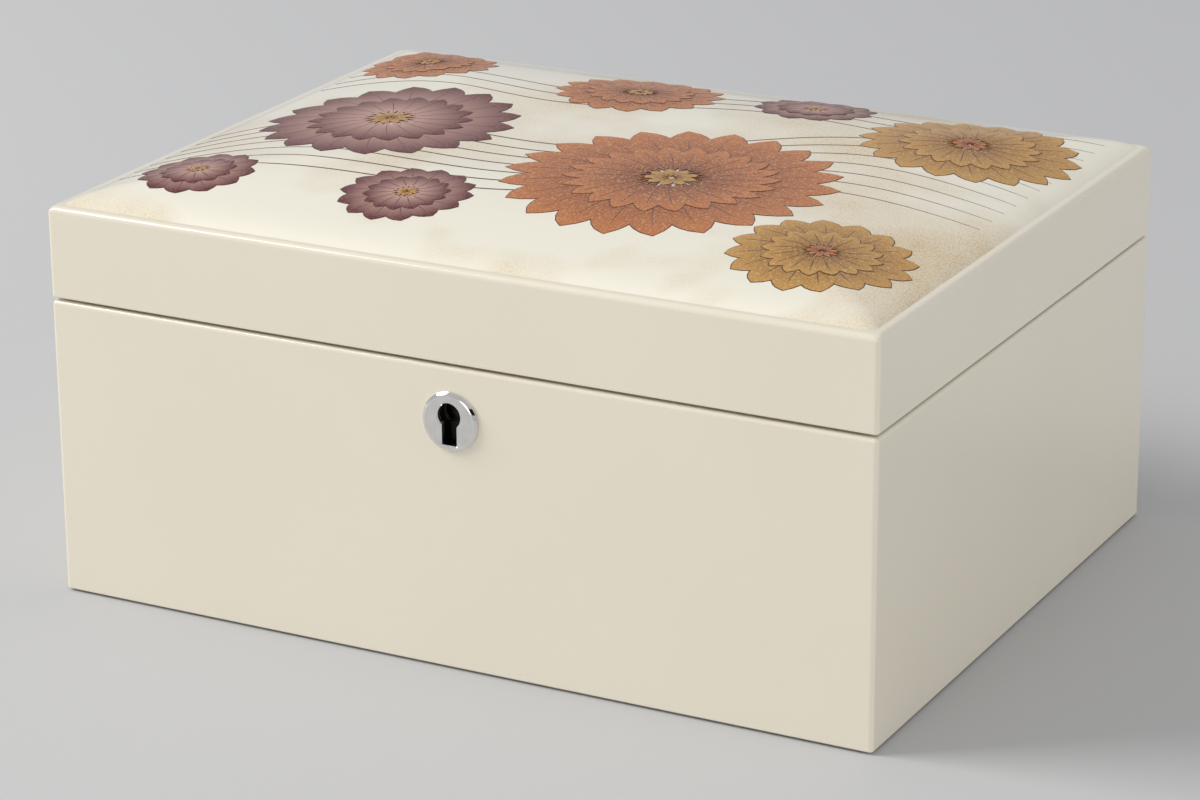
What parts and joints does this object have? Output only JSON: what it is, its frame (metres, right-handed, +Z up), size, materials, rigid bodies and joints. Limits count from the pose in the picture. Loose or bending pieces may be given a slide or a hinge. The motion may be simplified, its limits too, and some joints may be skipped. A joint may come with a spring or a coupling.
{
  "type": "lacquer box",
  "caption": "Rectangular glossy lacquer box with a hinged domed lid, a round keyhole plate and a lined inside.",
  "frame": {"origin": "middle of the body's footprint on the resting surface, under the felt", "axes": "+X along the width to the right as seen from the front, +Y to the back with the hinges, +Z up; the keyhole is on the -Y side"},
  "size_m": [0.24, 0.1908, 0.1172],
  "materials": {
    "lacquer": "gloss ivory lacquer",
    "bare_wood": "bare board",
    "felt": "felt",
    "lining": "short velvet",
    "nickel": "satin nickel",
    "brass": "satin brass"
  },
  "bodies": {
    "body": {"base_felt": "felt", "bottom_board": "bare_wood", "body_front_wall": "lacquer", "body_back_wall": "lacquer", "body_left_wall": "lacquer", "body_right_wall": "lacquer", "floor_pad": "lining", "lining_front": "lining", "lining_back": "lining", "lining_left": "lining", "lining_right": "lining", "escutcheon": "nickel", "lock_case": "nickel", "lock_cover": "nickel", "bolt_spring": "nickel", "lock_screw_left": "nickel", "lock_screw_right": "nickel", "hinge_leaf_body_left": "brass", "hinge_leaf_body_right": "brass", "hinge_pin_left": "brass", "hinge_pin_right": "brass", "hinge_screw_body_1": "brass", "hinge_screw_body_2": "brass", "hinge_screw_body_3": "brass", "hinge_screw_body_4": "brass", "hinge_screw_body_5": "brass", "hinge_screw_body_6": "brass"},
    "lid": {"lid_front_rail": "lacquer", "lid_back_rail": "lacquer", "lid_left_rail": "lacquer", "lid_right_rail": "lacquer", "lid_panel": "lacquer", "lid_lining": "lining", "strike_plate": "nickel", "strike_screw_left": "nickel", "strike_screw_right": "nickel", "hinge_leaf_lid_left": "brass", "hinge_leaf_lid_right": "brass", "hinge_screw_lid_1": "brass", "hinge_screw_lid_2": "brass", "hinge_screw_lid_3": "brass", "hinge_screw_lid_4": "brass", "hinge_screw_lid_5": "brass", "hinge_screw_lid_6": "brass"},
    "bolt": {"lock_bolt": "brass"}
  },
  "joints": [
    {"name": "lid_hinge", "type": "hinge", "parent": "body", "child": "lid", "pos_m": [0, 0.0948, 0.0836], "axis": [-1, 0, 0], "range_deg": [0, 95]},
    {"name": "lock_slide", "type": "slide", "parent": "body", "child": "bolt", "axis": [1, 0, 0], "range_m": [0, 0.004]}
  ]
}
